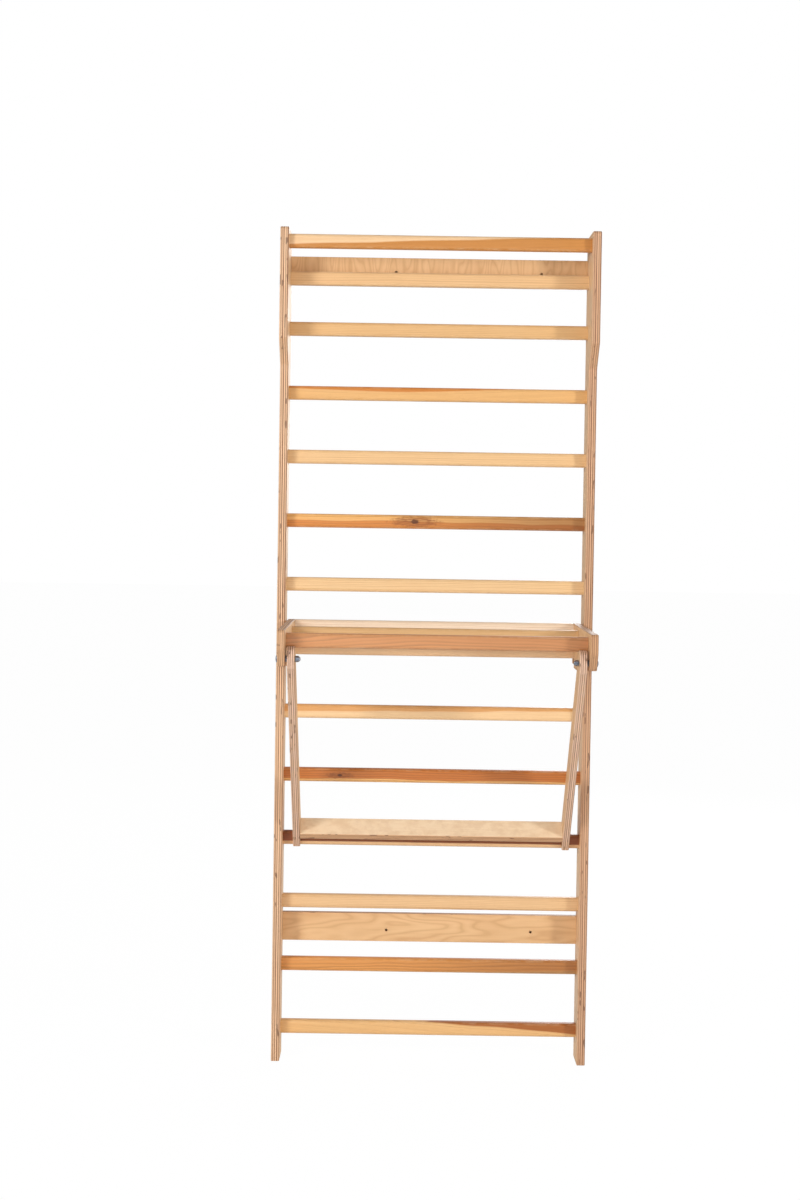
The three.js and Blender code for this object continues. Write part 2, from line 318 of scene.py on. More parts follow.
def start_group(name: str, inputs: dict[str, str], outputs: dict[str, str],
                kind: str = "ShaderNodeTree") -> tuple[NodeWeb, dict[str, Socket], Node]:
    """Starts a node group with its sockets.

    Args:
        name: The group's name.
        inputs: Socket names and kinds.
        outputs: Socket names and kinds.
        kind: The tree's type name.

    Returns:
        The web to add nodes with, the inner inputs by name, and the output node.
    """
    tree = bpy.data.node_groups.new(name, kind)
    for in_out, sockets in (("INPUT", inputs), ("OUTPUT", outputs)):
        for socket_name, socket_kind in sockets.items():
            tree.interface.new_socket(socket_name, in_out=in_out,
                                      socket_type=f"NodeSocket{socket_kind}")
    web = NodeWeb(tree)
    entry = web.add("NodeGroupInput")
    leave = web.add("NodeGroupOutput")
    return web, {socket.name: socket for socket in entry.outputs}, leave


class GroupLibrary:
    """The shared effects, each a shader node group that is built at its first use."""

    @cached_property
    def fibres(self) -> Tree:
        """Fine fibres that run along X, with short dark pores.

        Returns:
            A group with Fibre and Pore outputs.
        """
        web, given, leave = start_group(
            "wood_fibres", {"Position": "Vector", "Fineness": "Float"},
            {"Fibre": "Float", "Pore": "Float"})
        drawn = web.vector_math("MULTIPLY", given["Position"], (0.022, 1.0, 1.0))
        coarse = web.noise(drawn, given["Fineness"], 3.0, 0.6)
        finer = web.math("MULTIPLY", given["Fineness"], 3.1)
        fine = web.noise(drawn, finer, 2.0, 0.5)
        mixed = web.math("ADD", web.math("MULTIPLY", coarse, 0.6),
                         web.math("MULTIPLY", fine, 0.4))
        web.feed(leave.inputs["Fibre"], mixed)
        dashes = web.vector_math("MULTIPLY", given["Position"], (0.12, 1.0, 1.0))
        web.feed(leave.inputs["Pore"], web.fade(web.noise(dashes, finer, 1.0), 0.66, 0.76))
        return web.tree

    @cached_property
    def growth_rings(self) -> Tree:
        """Growth rings round a pith that runs along X, and the darker heart inside them.

        Returns:
            A group with Ring and Heart outputs.
        """
        web, given, leave = start_group(
            "growth_rings",
            {"Position": "Vector", "Ring Width": "Float", "Heart Radius": "Float",
             "Waviness": "Float", "Bow": "Float"},
            {"Ring": "Float", "Heart": "Float"})
        along, across, up = web.split(given["Position"])
        bent = web.math("MULTIPLY", web.math("MULTIPLY", along, along), given["Bow"])
        flat = web.join(0.0, across, web.math("SUBTRACT", up, bent))
        length = web.vector_math("LENGTH", flat, output="Value")
        slow = web.vector_math("MULTIPLY", given["Position"], (0.16, 1.0, 1.0))
        sway = web.math("MULTIPLY", web.math("SUBTRACT", web.noise(slow, 22.0, 2.0), 0.5),
                        given["Waviness"])
        radius = web.math("ADD", length, sway)
        turns = web.math("DIVIDE", radius, given["Ring Width"])
        part = web.math("FRACT", turns)
        rise = web.fade(part, 0.25, 0.86)
        fall = web.fade(part, 0.9, 1.0, 1.0, 0.0)
        year = web.math("FLOOR", turns)
        depth = web.fade(web.chance(year), 0.0, 1.0, 0.35, 1.0)
        ring = web.math("MULTIPLY", web.math("MULTIPLY", rise, fall), depth)
        web.feed(leave.inputs["Ring"], ring)
        inner = web.math("SUBTRACT", given["Heart Radius"], 0.0012)
        outer = web.math("ADD", given["Heart Radius"], 0.0022)
        web.feed(leave.inputs["Heart"], web.fade(radius, inner, outer, 1.0, 0.0))
        return web.tree

    @cached_property
    def knot(self) -> Tree:
        """A knot: a dark oval core with a stained halo drawn out along X.

        Returns:
            A group with Core, Halo and Ray outputs.
        """
        web, given, leave = start_group(
            "branch_knot", {"Position": "Vector", "Centre": "Vector", "Radius": "Float"},
            {"Core": "Float", "Halo": "Float", "Ray": "Float"})
        away = web.vector_math("SUBTRACT", given["Position"], given["Centre"])
        sway = web.noise(given["Position"], 160.0, 2.0)
        drawn = web.vector_math("MULTIPLY", given["Position"], (0.1, 1.0, 1.0))
        web.feed(leave.inputs["Ray"], web.fade(web.noise(drawn, 420.0, 2.0), 0.42, 0.58))
        for name, stretch, reach in (("Core", 0.5, 0.8), ("Halo", 0.22, 1.9)):
            drawn = web.vector_math("MULTIPLY", away, (stretch, 0.35, 1.0))
            length = web.vector_math("LENGTH", drawn, output="Value")
            limit = web.math("MULTIPLY", given["Radius"], reach)
            wobble = web.math("MULTIPLY", web.math("ADD", sway, 0.5), limit)
            near = web.math("MULTIPLY", wobble, 0.55)
            web.feed(leave.inputs[name], web.fade(length, near, wobble, 1.0, 0.0))
        return web.tree

    @cached_property
    def ply_layers(self) -> Tree:
        """The layers that show on a plywood edge, with glue lines and small voids.

        Returns:
            A group with Tone, Glue and Void outputs.
        """
        web, given, leave = start_group(
            "ply_layers", {"Depth": "Float", "Layer": "Float", "Position": "Vector"},
            {"Tone": "Float", "Glue": "Float", "Void": "Float"})
        sway = web.math("MULTIPLY", web.math("SUBTRACT", web.noise(given["Position"], 9.0, 2.0),
                                             0.5), 0.0008)
        count = web.math("DIVIDE", web.math("ADD", given["Depth"], sway), given["Layer"])
        layer = web.math("FLOOR", count)
        part = web.math("FRACT", count)
        chance = web.chance(layer)
        turn = web.math("PINGPONG", layer, 1.0)
        tone = web.math("ADD", web.math("MULTIPLY", turn, 0.7),
                        web.math("MULTIPLY", chance, 0.3))
        lengthways = web.split(given["Position"])[0]
        drift = web.noise(web.join(web.math("MULTIPLY", layer, 3.7), lengthways, 0.0), 3.0)
        strength = web.fade(drift, 0.2, 0.8, 0.6, 1.25)
        web.feed(leave.inputs["Tone"], web.math("MULTIPLY", tone, strength))
        middle = web.math("ABSOLUTE", web.math("SUBTRACT", part, 0.5))
        web.feed(leave.inputs["Glue"], web.fade(middle, 0.4, 0.5))
        dashes = web.vector_math("MULTIPLY", given["Position"], (0.3, 1.0, 1.0))
        rare = web.fade(web.noise(dashes, 95.0, 1.0), 0.66, 0.69)
        core = web.fade(middle, 0.3, 0.48, 1.0, 0.0)
        some = web.math("GREATER_THAN", chance, 0.4)
        void = web.math("MULTIPLY", web.math("MULTIPLY", rare, core), some)
        web.feed(leave.inputs["Void"], void)
        return web.tree

    @cached_property
    def birch_figure(self) -> Tree:
        """The soft mottled figure of a peeled birch face, its grain along X.

        Returns:
            A group with Figure, Fleck and Line outputs.
        """
        web, given, leave = start_group(
            "birch_figure", {"Position": "Vector", "Swirl": "Float"},
            {"Figure": "Float", "Fleck": "Float", "Line": "Float"})
        broad = web.vector_math("MULTIPLY", given["Position"], (0.2, 1.0, 1.0))
        sway = web.math("MULTIPLY", web.noise(broad, 14.0, 2.0, 0.5), given["Swirl"])
        rings = web.math("SINE", web.math("MULTIPLY", sway, 90.0))
        web.feed(leave.inputs["Line"], web.fade(rings, 0.6, 1.0))
        soft = web.noise(broad, 28.0, 4.0, 0.6)
        mixed = web.math("ADD", web.math("MULTIPLY", web.math("ADD", rings, 1.0), 0.12),
                         web.math("MULTIPLY", soft, 0.7))
        web.feed(leave.inputs["Figure"], mixed)
        dashes = web.vector_math("MULTIPLY", given["Position"], (0.18, 1.0, 1.0))
        web.feed(leave.inputs["Fleck"], web.fade(web.noise(dashes, 520.0, 1.0), 0.68, 0.78))
        return web.tree

    @cached_property
    def lacquer(self) -> Tree:
        """A brushed film of clear lacquer with handled, slightly duller patches.

        Returns:
            A group with Roughness and Film outputs.
        """
        web, given, leave = start_group(
            "lacquer_film", {"Position": "Vector", "Gloss": "Float", "Wear": "Float"},
            {"Roughness": "Float", "Film": "Float"})
        broad = web.noise(given["Position"], 7.0, 3.0, 0.6)
        fine = web.noise(given["Position"], 260.0, 2.0)
        patches = web.math("MULTIPLY", web.fade(broad, 0.42, 0.68), given["Wear"])
        ripple = web.math("MULTIPLY", web.math("SUBTRACT", fine, 0.5), 0.08)
        dull = web.math("ADD", web.math("SUBTRACT", 1.0, given["Gloss"]), patches)
        web.feed(leave.inputs["Roughness"], web.math("ADD", dull, ripple))
        web.feed(leave.inputs["Film"], fine)
        return web.tree

    @cached_property
    def edge_wear(self) -> Tree:
        """How rubbed an edge is: high where a face turns away from its piece's main axes.

        Returns:
            A group with a Rubbed output.
        """
        web, given, leave = start_group(
            "edge_wear", {"Normal": "Vector", "Position": "Vector", "Amount": "Float"},
            {"Rubbed": "Float"})
        turned = web.split(web.vector_math("ABSOLUTE", given["Normal"]))
        largest = web.math("MAXIMUM", web.math("MAXIMUM", turned[0], turned[1]), turned[2])
        slanted = web.fade(largest, 0.75, 0.97, 1.0, 0.0)
        broken = web.fade(web.noise(given["Position"], 34.0, 3.0, 0.65), 0.35, 0.65)
        rubbed = web.math("MULTIPLY", web.math("MULTIPLY", slanted, broken), given["Amount"])
        web.feed(leave.inputs["Rubbed"], rubbed)
        return web.tree


GROUPS = GroupLibrary()


def start_material(name: str) -> tuple[Material, NodeWeb, Node, Node]:
    """A new material with its shader and object coordinates.

    Args:
        name: The material's name.

    Returns:
        The material, its web, its Principled shader and its coordinates node.
    """
    material = bpy.data.materials.new(name)
    material.use_nodes = True
    web = NodeWeb(material.node_tree)
    shader = material.node_tree.nodes["Principled BSDF"]
    coordinates = web.add("ShaderNodeTexCoord")
    return material, web, shader, coordinates


def turned_position(web: NodeWeb, coordinates: Node, centre: Point, turn: Point) -> Socket:
    """Object coordinates counted from a centre and turned back by an angle.

    Args:
        web: The material's web.
        coordinates: The Texture Coordinate node.
        centre: The place that becomes zero, in metres.
        turn: The turn about X, Y and Z, in degrees.

    Returns:
        The moved coordinates.
    """
    angles = tuple(math.radians(angle) for angle in turn)
    mapping = web.add("ShaderNodeMapping", {"Vector": coordinates.outputs["Object"],
                                            "Location": centre, "Rotation": angles},
                      vector_type="TEXTURE")
    return mapping.outputs["Vector"]


@dataclass(frozen=True)
class LacquerCoat:
    """How clear satin lacquer lies on wood: its gloss, its worn patches and its top coat."""

    gloss: float
    wear: float
    weight: float
    roughness: float
    specular: float = 0.4

    def lay(self, web: NodeWeb, shader: Node, place: Socket) -> Socket:
        """Sets a shader's gloss.

        Args:
            web: The material's web.
            shader: The Principled shader.
            place: The position that the film is read at.

        Returns:
            The film's own fine ripple.
        """
        film = web.place(GROUPS.lacquer, position=place, gloss=self.gloss, wear=self.wear)
        web.feed(shader.inputs["Roughness"], film.outputs["Roughness"])
        shader.inputs["Specular IOR Level"].default_value = self.specular
        shader.inputs["Coat Weight"].default_value = self.weight
        shader.inputs["Coat Roughness"].default_value = self.roughness
        return film.outputs["Film"]


@dataclass(frozen=True)
class Knot:
    """A knot in a bar: its place along the bar, up and forward from its middle, its size."""

    along: float
    up: float
    radius: float
    forward: float = 0.014


@dataclass(frozen=True)
class PineFinish:
    """Clear satin lacquer on a pine bar, whose heart shows as a darker streak.

    The pith's place is counted from the bar's middle. Its lean, its bow and the shift of the
    bow's middle let the heart enter and leave the bar along its length.
    """

    name: str
    pale: Colour = (234, 186, 128)
    heart: Colour = (214, 144, 76)
    pith: tuple[float, float] = (0.045, 0.03)
    lean: tuple[float, float] = (0.0, 0.0)
    shift: float = 0.0
    bow: float = 0.0
    heart_radius: float = 0.03
    ring_width: float = 0.0026
    waviness: float = 0.006
    ring_depth: float = 0.32
    # Painted shade: these three set how far the bar darkens towards its +X (right) end, over
    # which span along X, and towards which dark tone.
    painted_end_shade: float = 0.0
    painted_end_shade_reach: tuple[float, float] = (-0.2, 0.37)
    painted_end_shade_tone: Colour = (120, 66, 34)
    knot: Knot | None = None
    knot_halo: Colour = (150, 86, 40)
    knot_core: Colour = (88, 46, 22)
    rubbed: Colour = (250, 222, 182)
    late_share: float = 0.62
    relief: float = 0.00012
    coat: LacquerCoat = LacquerCoat(gloss=0.66, wear=0.14, weight=0.1, roughness=0.3)

    def make(self, centre: Vector) -> Material:
        """Builds the material for a bar.

        Args:
            centre: The bar's middle, in metres.

        Returns:
            The material.
        """
        material, web, shader, coordinates = start_material(self.name)
        pith = (centre.x + self.shift, centre.y + self.pith[0], centre.z + self.pith[1])
        place = turned_position(web, coordinates, pith, (0.0, self.lean[0], self.lean[1]))
        rings = web.place(GROUPS.growth_rings, position=place, ring_width=self.ring_width,
                          heart_radius=self.heart_radius, waviness=self.waviness, bow=self.bow)
        fibres = web.place(GROUPS.fibres, position=place, fineness=420.0)
        pale, heart = linear(self.pale), linear(self.heart)
        base = web.blend(rings.outputs["Heart"], pale, heart)
        late = tuple(channel * self.late_share for channel in heart[:3]) + (1.0,)
        depth = web.math("MULTIPLY", rings.outputs["Ring"], self.ring_depth)
        ringed = web.blend(depth, base, late)
        toned = web.blend(web.fade(fibres.outputs["Fibre"], 0.3, 0.7, 0.0, 0.3), ringed,
                          web.blend(0.5, ringed, FIBRE_TINT, "MULTIPLY"))
        wood = web.blend(web.math("MULTIPLY", fibres.outputs["Pore"], 0.22), toned, PORE_TONE)
        # Painted shade: darkens the wood towards the bar's +X (right) end.
        if self.painted_end_shade > 0.0:
            reach = web.fade(web.split(coordinates.outputs["Object"])[0], *self.painted_end_shade_reach,
                             0.0, self.painted_end_shade)
            wood = web.blend(reach, wood, linear(self.painted_end_shade_tone))
        if self.knot is not None:
            spot = (self.knot.along, centre.y - self.knot.forward, centre.z + self.knot.up)
            knot = web.place(GROUPS.knot, position=coordinates.outputs["Object"],
                             centre=spot, radius=self.knot.radius)
            halo = web.math("MULTIPLY", knot.outputs["Halo"],
                            web.math("MULTIPLY_ADD", knot.outputs["Ray"], 0.5, 0.4))
            wood = web.blend(halo, wood, linear(self.knot_halo))
            core = web.math("MULTIPLY", knot.outputs["Core"], 0.88)
            wood = web.blend(core, wood, linear(self.knot_core))
        worn = web.place(GROUPS.edge_wear, normal=coordinates.outputs["Normal"],
                         position=place, amount=0.18)
        wood = web.blend(worn.outputs["Rubbed"], wood, linear(self.rubbed))
        web.feed(shader.inputs["Base Color"], wood)
        ripple = self.coat.lay(web, shader, place)
        height = web.math("ADD", web.math("MULTIPLY", fibres.outputs["Fibre"], 0.7),
                          web.math("MULTIPLY", ripple, 0.3))
        web.bump(shader, height, self.relief)
        return material


@dataclass(frozen=True)
class PlywoodFinish:
    """Clear satin lacquer on birch plywood: figured faces and layered edges.

    The layers are counted from one face along the sheet's own normal, and the face grain
    runs along the given axis before the turn about X.
    """

    name: str
    normal: Point
    start: float
    grain: Grain
    face: Colour = (240, 202, 156)
    face_dark: Colour = (216, 168, 116)
    edge: Colour = (232, 188, 144)
    edge_dark: Colour = (142, 92, 60)
    layer: float = 0.0023
    turn: float = 0.0
    swirl: float = 1.0
    contour: float = 0.16
    contour_tone: Colour = (176, 122, 76)
    fleck: Colour = (150, 104, 66)
    glue: Colour = (120, 76, 44)
    void: Colour = (84, 50, 28)
    rubbed: Colour = (206, 164, 122)
    relief: float = 0.00015
    coat: LacquerCoat = LacquerCoat(gloss=0.58, wear=0.12, weight=0.08, roughness=0.35)

    def make(self) -> Material:
        """Builds the material.

        Returns:
            The material.
        """
        material, web, shader, coordinates = start_material(self.name)
        place = turned_position(web, coordinates, (0.0, 0.0, 0.0), (self.turn, 0.0, 0.0))
        x, y, z = web.split(place)
        drawn = {Grain.X: (x, y, z), Grain.Y: (y, x, z), Grain.Z: (z, x, y)}[self.grain]
        along = web.join(*drawn)
        through, facing = (
            web.vector_math("DOT_PRODUCT", coordinates.outputs[output], self.normal, "Value")
            for output in ("Object", "Normal"))
        depth = web.math("SUBTRACT", through, self.start)
        on_face = web.fade(web.math("ABSOLUTE", facing), 0.86, 0.93)

        figure = web.place(GROUPS.birch_figure, position=along, swirl=self.swirl)
        fibres = web.place(GROUPS.fibres, position=along, fineness=300.0)
        face = web.blend(figure.outputs["Figure"], linear(self.face), linear(self.face_dark))
        face = web.blend(web.math("MULTIPLY", figure.outputs["Fleck"], 0.16), face,
                         linear(self.fleck))
        face = web.blend(web.fade(fibres.outputs["Fibre"], 0.35, 0.75, 0.0, 0.2), face,
                         linear(self.face_dark))
        face = web.blend(web.math("MULTIPLY", figure.outputs["Line"], self.contour), face,
                         web.blend(0.5, linear(self.face_dark), linear(self.contour_tone)))

        layers = web.place(GROUPS.ply_layers, depth=depth, layer=self.layer, position=along)
        edge = web.blend(layers.outputs["Tone"], linear(self.edge), linear(self.edge_dark))
        edge = web.blend(web.math("MULTIPLY", layers.outputs["Glue"], 0.3), edge,
                         linear(self.glue))
        edge = web.blend(web.fade(fibres.outputs["Fibre"], 0.4, 0.8, 0.0, 0.2), edge,
                         linear(self.edge_dark))
        edge = web.blend(web.math("MULTIPLY", layers.outputs["Void"], 0.75), edge,
                         linear(self.void))

        wood = web.blend(on_face, edge, face)
        worn = web.place(GROUPS.edge_wear, normal=coordinates.outputs["Normal"],
                         position=along, amount=0.3)
        wood = web.blend(worn.outputs["Rubbed"], wood, linear(self.rubbed))
        web.feed(shader.inputs["Base Color"], wood)
        self.coat.lay(web, shader, along)
        ridge = web.math("MULTIPLY", layers.outputs["Glue"],
                         web.math("SUBTRACT", 1.0, on_face))
        height = web.math("SUBTRACT", web.math("MULTIPLY", fibres.outputs["Fibre"], 0.6), ridge)
        web.bump(shader, height, self.relief)
        return material


@dataclass(frozen=True)
class SteelFinish:
    """Bright zinc-plated steel with fine turning marks and rubbed edges."""

    name: str
    colour: Colour = (142, 150, 164)
    shade: Colour = (78, 87, 104)
    rubbed: Colour = (206, 212, 220)
    roughness: float = 0.27
    relief: float = 0.00005

    def make(self) -> Material:
        """Builds the material.

        Returns:
            The material.
        """
        material, web, shader, coordinates = start_material(self.name)
        place = coordinates.outputs["Object"]
        cloud = web.noise(place, 180.0, 3.0, 0.6)
        marks = web.noise(web.vector_math("MULTIPLY", place, (6.0, 1.0, 1.0)), 900.0, 2.0)
        colour = web.blend(web.fade(cloud, 0.35, 0.7, 0.0, 0.6), linear(self.colour),
                           linear(self.shade))
        worn = web.place(GROUPS.edge_wear, normal=coordinates.outputs["Normal"],
                         position=place, amount=0.5)
        colour = web.blend(worn.outputs["Rubbed"], colour, linear(self.rubbed))
        web.feed(shader.inputs["Base Color"], colour)
        shader.inputs["Metallic"].default_value = 1.0
        rough = web.math("ADD", self.roughness, web.math("MULTIPLY", marks, 0.14))
        web.feed(shader.inputs["Roughness"], rough)
        web.bump(shader, marks, self.relief)
        return material


def dress(node: str, material: Material) -> None:
    """Gives a frame node its finish and reports it.

    Args:
        node: The node's name.
        material: Its finish.
    """
    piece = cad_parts[node]
    slots = piece.material_slots
    if not slots:
        piece.data.materials.append(material)
    for slot in slots:
        slot.material = material
    log.info("%s dressed in %s", node, material.name)


def middle(node: str) -> Vector:
    """The middle of a frame node's box."""
    low, high = (Vector(corner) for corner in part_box(node))
    return (low + high) / 2


RUNG_FINISHES: tuple[PineFinish, ...] = (
    PineFinish("rung_pine_01", pale=(244, 206, 160), heart=(206, 140, 72), pith=(0.02, -0.058),
               lean=(-1.6, -1.0), heart_radius=0.07, waviness=0.012, ring_depth=0.42),
    PineFinish("rung_pine_02", pale=(232, 190, 138), pith=(0.06, -0.05), heart_radius=0.028,
               ring_width=0.0034),
    PineFinish("rung_pine_03", pale=(228, 184, 128), pith=(0.05, 0.06), heart_radius=0.03,
               ring_width=0.003),
    PineFinish("rung_pine_04", pale=(234, 184, 120), heart=(212, 134, 62), pith=(0.005, 0.064),
               shift=-0.14, bow=0.1, heart_radius=0.06, waviness=0.01, ring_depth=0.4),
    PineFinish("rung_pine_05", pale=(236, 195, 142), pith=(0.05, -0.052), heart_radius=0.024,
               ring_width=0.0032),
    # Painted shade: rung 6 darkens strongly towards its right end.
    PineFinish("rung_pine_06", pale=(240, 184, 112), heart=(216, 138, 66), pith=(0.02, -0.04),
               lean=(-0.4, 0.6), heart_radius=0.052, waviness=0.014, ring_depth=0.5,
               ring_width=0.0044, painted_end_shade=0.62, knot=Knot(-0.054, 0.001, 0.0085)),
    PineFinish("rung_pine_07", pale=(242, 204, 152), pith=(-0.05, 0.05), heart_radius=0.026,
               ring_width=0.0036),
    PineFinish("rung_pine_08", pale=(246, 206, 160), pith=(0.03, 0.05), heart_radius=0.034),
    PineFinish("rung_pine_09", pale=(246, 208, 158), heart=(228, 168, 104), pith=(0.0, 0.052),
               lean=(-0.6, 0.2), heart_radius=0.048, waviness=0.016),
    # Painted shade: rung 10 darkens slightly towards its right end.
    PineFinish("rung_pine_10", pale=(238, 184, 116), heart=(198, 118, 54), pith=(0.0, 0.045),
               lean=(0.3, 0.4), heart_radius=0.0545, waviness=0.02, ring_depth=0.66,
               ring_width=0.0056, painted_end_shade=0.12, knot=Knot(-0.235, 0.0, 0.005)),
    # Painted shadow: rung 11's very dark heart tone over its upper part stands in for the
    # spreader board's shadow falling on it.
    PineFinish("rung_pine_11", pale=(240, 196, 146), heart=(150, 86, 44), pith=(0.0, 0.05),
               heart_radius=0.0585, waviness=0.003, ring_depth=0.5),
    PineFinish("rung_pine_12", pale=(234, 192, 142), pith=(0.05, 0.055), lean=(0.3, 0.0),
               heart_radius=0.03, ring_width=0.003),
    # Painted shade: rung 13 darkens towards its right end.
    PineFinish("rung_pine_13", pale=(240, 190, 124), heart=(224, 154, 84), pith=(0.0, 0.055),
               lean=(-1.0, 0.2), heart_radius=0.07, waviness=0.026, ring_depth=0.7,
               ring_width=0.0084, painted_end_shade=0.5),
    PineFinish("rung_pine_14", pale=(240, 192, 130), heart=(176, 106, 50), pith=(0.0, 0.062),
               lean=(4.0, -0.4), heart_radius=0.044, waviness=0.012, ring_depth=0.4),
)


@dataclass
class ScrewSet:
    """Countersunk socket screws set in the outer faces of posts, arms and struts.

    A node tree puts one head on each place, turned to face out, with a seeded turn about
    its own axis.
    """

    head_radius: float = 0.0062
    head_height: float = 0.0005
    sunk: float = 0.0018
    socket_radius: float = 0.0026
    head_sides: int = 28
    socket_sides: int = 6
    socket_lift: float = 0.35
    seed: int = 7

    def tree(self, material: Material) -> Tree:
        """Builds the node tree.

        Args:
            material: The heads' finish.

        Returns:
            The tree, with its sizes as named inputs.
        """
        if "screw_heads" in bpy.data.node_groups:
            return bpy.data.node_groups["screw_heads"]
        web, given, leave = start_group(
            "screw_heads",
            {"Geometry": "Geometry", "Head Radius": "Float", "Head Height": "Float",
             "Sunk": "Float", "Socket Radius": "Float", "Seed": "Int"},
            {"Geometry": "Geometry"}, "GeometryNodeTree")

        depth = web.math("ADD", given["Head Height"], given["Sunk"])
        head, socket = (
            web.add("GeometryNodeMeshCylinder",
                    {"Vertices": sides, "Radius": given[radius], "Depth": depth})
            for sides, radius in ((self.head_sides, "Head Radius"),
                                  (self.socket_sides, "Socket Radius")))
        lift = web.math("MULTIPLY", depth, self.socket_lift)
        raised = web.add("GeometryNodeTransform", {"Geometry": socket.outputs["Mesh"],
                                                   "Translation": web.join(0.0, 0.0, lift)})
        bored = web.add("GeometryNodeMeshBoolean",
                        {"Mesh 1": head.outputs["Mesh"], "Mesh 2": raised.outputs["Geometry"]},
                        operation="DIFFERENCE")
        drop = web.math("SUBTRACT", given["Head Height"], web.math("MULTIPLY", depth, 0.5))
        seated = web.add("GeometryNodeTransform", {"Geometry": bored.outputs["Mesh"],
                                                   "Translation": web.join(0.0, 0.0, drop)})

        position = web.add("GeometryNodeInputPosition")
        side = web.math("SIGN", web.split(position.outputs[0])[0])
        facing = web.join(0.0, web.math("MULTIPLY", side, math.pi / 2), 0.0)
        spread = web.add("GeometryNodeInstanceOnPoints",
                         {"Points": given["Geometry"], "Instance": seated.outputs["Geometry"],
                          "Rotation": facing})
        chance = web.add("FunctionNodeRandomValue",
                         {"Min": 0.0, "Max": math.pi / 3, "Seed": given["Seed"]},
                         data_type="FLOAT")
        spun = web.add("GeometryNodeRotateInstances",
                       {"Instances": spread.outputs["Instances"],
                        "Rotation": web.join(0.0, 0.0, chance.outputs["Value"])})
        real = web.add("GeometryNodeRealizeInstances", {"Geometry": spun.outputs["Instances"]})
        finish = web.add("GeometryNodeSetMaterial",
                         {"Geometry": real.outputs["Geometry"], "Material": material})
        web.feed(leave.inputs["Geometry"], finish.outputs["Geometry"])
        return web.tree

    def build(self, name: str, places: list[Vector], body: Body, material: Material) -> None:
        """Makes the heads as one plain mesh that rides on a body.

        Args:
            name: The piece's name.
            places: A point on the outer face for each screw.
            body: The body that the heads ride on.
            material: The heads' finish.
        """
        seeds = bpy.data.meshes.new(f"{name}_places")
        seeds.from_pydata([tuple(place) for place in places], [], [])
        carrier = bpy.data.objects.new(f"{name}_carrier", seeds)
        bpy.context.scene.collection.objects.link(carrier)
        modifier = carrier.modifiers.new("heads", "NODES")
        modifier.node_group = self.tree(material)
        sizes = {"Head Radius": self.head_radius, "Head Height": self.head_height,
                 "Sunk": self.sunk, "Socket Radius": self.socket_radius, "Seed": self.seed}
        for item in modifier.node_group.interface.items_tree:
            if item.item_type == "SOCKET" and item.in_out == "INPUT" and item.name in sizes:
                modifier[item.identifier] = sizes[item.name]
        graph = bpy.context.evaluated_depsgraph_get()
        made = bpy.data.meshes.new_from_object(carrier.evaluated_get(graph))
        bpy.data.objects.remove(carrier, do_unlink=True)
        made.name = name
        piece = bpy.data.objects.new(name, made)
        bpy.context.scene.collection.objects.link(piece)
        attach(piece, body.value)
        log.info("%s made: %d heads, %d faces", name, len(places), len(made.polygons))

    def cap(self, name: str, ending: str, body: Body, material: Material) -> None:
        """Gives the frame's own screws their socket heads, at their outer ends.

        Args:
            name: The piece's name.
            ending: How the screws' node names end.
            body: The body that the screws are on.
            material: The heads' finish.
        """
        places = []
        for node in sorted(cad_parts):
            if node.endswith(ending):
                low, high = (Vector(corner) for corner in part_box(node))
                place = (low + high) / 2
                place.x = low.x if place.x < 0 else high.x
                places.append(place)
        self.build(name, places, body, material)


@dataclass
class Ladder:
    """The wall ladder: two posts, its rungs, two wall boards and the posts' screws."""

    board_screw_offset: float = 0.02
    layer: float = 0.0026
    screws: ScrewSet = field(default_factory=ScrewSet)

    def dress_posts(self) -> None:
        """Gives each post its plywood, the right post's edges a darker tone as painted shade."""
        # Painted shade: the right post's edge tone is darker than the left's, standing in for the
        # weaker light from the right.
        for name, tone in (("left_post", (246, 206, 166)), ("right_post", (228, 184, 146))):
            low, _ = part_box(name)
            finish = PlywoodFinish(f"{name}_plywood", (1.0, 0.0, 0.0), low[0], Grain.Z, edge=tone,
                                   layer=self.layer, face=(246, 214, 174),
                                   face_dark=(224, 178, 128))
            dress(name, finish.make())

    def dress_rungs(self) -> None:
        """Gives each rung its own piece of pine."""
        for number, finish in enumerate(RUNG_FINISHES, start=1):
            name = f"rung_{number:02d}"
            dress(name, finish.make(middle(name)))

    def dress_boards(self) -> None:
        """Gives the wall boards their plywood."""
        for name, grain, swirl in (("upper_wall_board", Grain.Z, 1.3),
                                   ("lower_wall_board", Grain.X, 0.8)):
            low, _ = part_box(name)
            finish = PlywoodFinish(f"{name}_plywood", (0.0, 1.0, 0.0), low[1], grain,
                                   face=(238, 198, 148), face_dark=(206, 158, 108), swirl=swirl,
                                   contour=0.22)
            dress(name, finish.make())

    def add_screws(self, steel: Material) -> None:
        """Adds the screws that hold the rungs and the boards.

        Args:
            steel: The screws' finish.
        """
        sides = (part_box("left_post")[0][0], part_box("right_post")[1][0])
        places = []
        for number in range(1, len(RUNG_FINISHES) + 1):
            place = middle(f"rung_{number:02d}")
            places += [Vector((side, place.y, place.z)) for side in sides]
        for name in ("upper_wall_board", "lower_wall_board"):
            place = middle(name)
            places += [Vector((side, place.y, place.z + offset)) for side in sides
                       for offset in (-self.board_screw_offset, self.board_screw_offset)]
        self.screws.build("post_screws", places, Body.LADDER, steel)

    def build(self, steel: Material) -> None:
        """Builds and dresses the whole ladder.

        Args:
            steel: The screws' finish.
        """
        self.dress_posts()
        self.dress_rungs()
        self.dress_boards()
        self.add_screws(steel)


